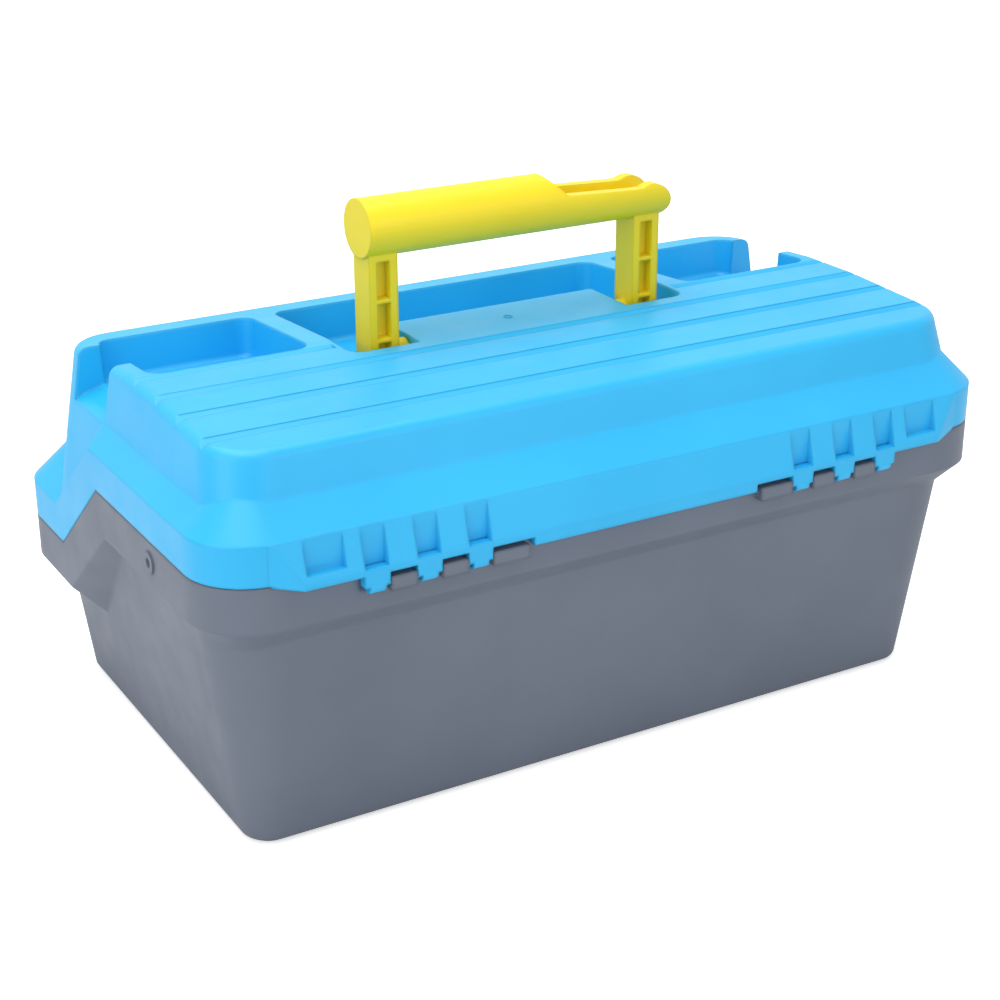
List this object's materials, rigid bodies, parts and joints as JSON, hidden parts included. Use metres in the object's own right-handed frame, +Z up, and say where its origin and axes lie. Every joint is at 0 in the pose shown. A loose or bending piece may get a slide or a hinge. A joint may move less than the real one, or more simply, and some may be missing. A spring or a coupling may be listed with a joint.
{
  "type": "tackle box",
  "caption": "Cantilever tackle box: moulded base with stepped hinged lid, carry handle, front latches, open lid compartments and divided trays that lift with the lid.",
  "frame": {"origin": "centre of the overall box on the surface that the feet stand on", "axes": "+Z up, +X along the long side, +Y towards the lid's hinge, -Y towards the latches"},
  "size_m": [0.3976, 0.2566, 0.2479],
  "materials": {
    "base_plastic": "satin moulded",
    "lid_plastic": "satin moulded",
    "yellow_plastic": "satin moulded",
    "tray_plastic": "satin moulded",
    "divider_plastic": "satin moulded",
    "arm_plastic": "satin moulded",
    "pin_steel": "drawn wire"
  },
  "bodies": {
    "base": {"base_tub": "base_plastic", "hinge_pin_left": "pin_steel", "hinge_pin_right": "pin_steel", "arm_pivots": "pin_steel"},
    "lid": {"lid_shell": "lid_plastic", "latch_pin_left": "pin_steel", "latch_pin_right": "pin_steel"},
    "handle": {"carry_handle": "yellow_plastic"},
    "latch_left": {"latch_left": "yellow_plastic"},
    "latch_right": {"latch_right": "yellow_plastic"},
    "front_arms": {"front_arm_left": "arm_plastic", "front_arm_right": "arm_plastic", "link_pins": "pin_steel"},
    "rear_arms": {"rear_arm_left": "arm_plastic", "rear_arm_right": "arm_plastic"},
    "tray_lower": {"tray_lower": "tray_plastic", "dividers_lower": "divider_plastic", "tray_rivets_lower": "pin_steel"},
    "tray_middle": {"tray_middle": "tray_plastic", "dividers_middle": "divider_plastic", "tray_rivets_middle": "pin_steel"},
    "tray_upper": {"tray_upper": "tray_plastic", "dividers_upper": "divider_plastic", "tray_rivets_upper": "pin_steel"},
    "lid_links": {"lid_link_left": "arm_plastic", "lid_link_right": "arm_plastic"}
  },
  "joints": [
    {"name": "lid_hinge", "type": "hinge", "parent": "base", "child": "lid", "pos_m": [0, 0.1253, 0.1225], "axis": [-1, 0, 0], "range_deg": [0, 100]},
    {"name": "handle_pivot", "type": "hinge", "parent": "lid", "child": "handle", "pos_m": [0, 0.0115, 0.1769], "axis": [1, 0, 0], "range_deg": [0, 76]},
    {"name": "latch_pivot_left", "type": "hinge", "parent": "lid", "child": "latch_left", "pos_m": [-0.095, -0.1258, 0.0995], "axis": [-1, 0, 0], "range_deg": [0, 120]},
    {"name": "latch_pivot_right", "type": "hinge", "parent": "lid", "child": "latch_right", "pos_m": [0.095, -0.1258, 0.0995], "axis": [-1, 0, 0], "range_deg": [0, 120]},
    {"name": "front_arm_pivot", "type": "hinge", "parent": "base", "child": "front_arms", "pos_m": [0, 0.0563, 0.121], "axis": [-1, 0, 0], "range_deg": [0, 84]},
    {"name": "rear_arm_pivot", "type": "hinge", "parent": "base", "child": "rear_arms", "pos_m": [0, 0.0823, 0.121], "axis": [-1, 0, 0], "range_deg": [0, 84]},
    {"name": "tray_lower_pivot", "type": "hinge", "parent": "front_arms", "child": "tray_lower", "pos_m": [0, 0.0313, 0.1], "axis": [-1, 0, 0], "range_deg": [-84, 0]},
    {"name": "tray_middle_pivot", "type": "hinge", "parent": "front_arms", "child": "tray_middle", "pos_m": [0, -0.0037, 0.126], "axis": [-1, 0, 0], "range_deg": [-84, 0]},
    {"name": "tray_upper_pivot", "type": "hinge", "parent": "front_arms", "child": "tray_upper", "pos_m": [0, -0.0387, 0.152], "axis": [-1, 0, 0], "range_deg": [-84, 0]},
    {"name": "lid_link_pivot", "type": "hinge", "parent": "front_arms", "child": "lid_links", "pos_m": [0, 0.0388, 0.1394], "axis": [-1, 0, 0], "range_deg": [-84, 0]}
  ],
  "couplings": [
    {"joint": "front_arm_pivot", "follows": "lid_hinge", "ratio": 0.84},
    {"joint": "rear_arm_pivot", "follows": "lid_hinge", "ratio": 0.84},
    {"joint": "tray_lower_pivot", "follows": "lid_hinge", "ratio": -0.84},
    {"joint": "tray_middle_pivot", "follows": "lid_hinge", "ratio": -0.84},
    {"joint": "tray_upper_pivot", "follows": "lid_hinge", "ratio": -0.84},
    {"joint": "lid_link_pivot", "follows": "lid_hinge", "ratio": -0.84}
  ]
}
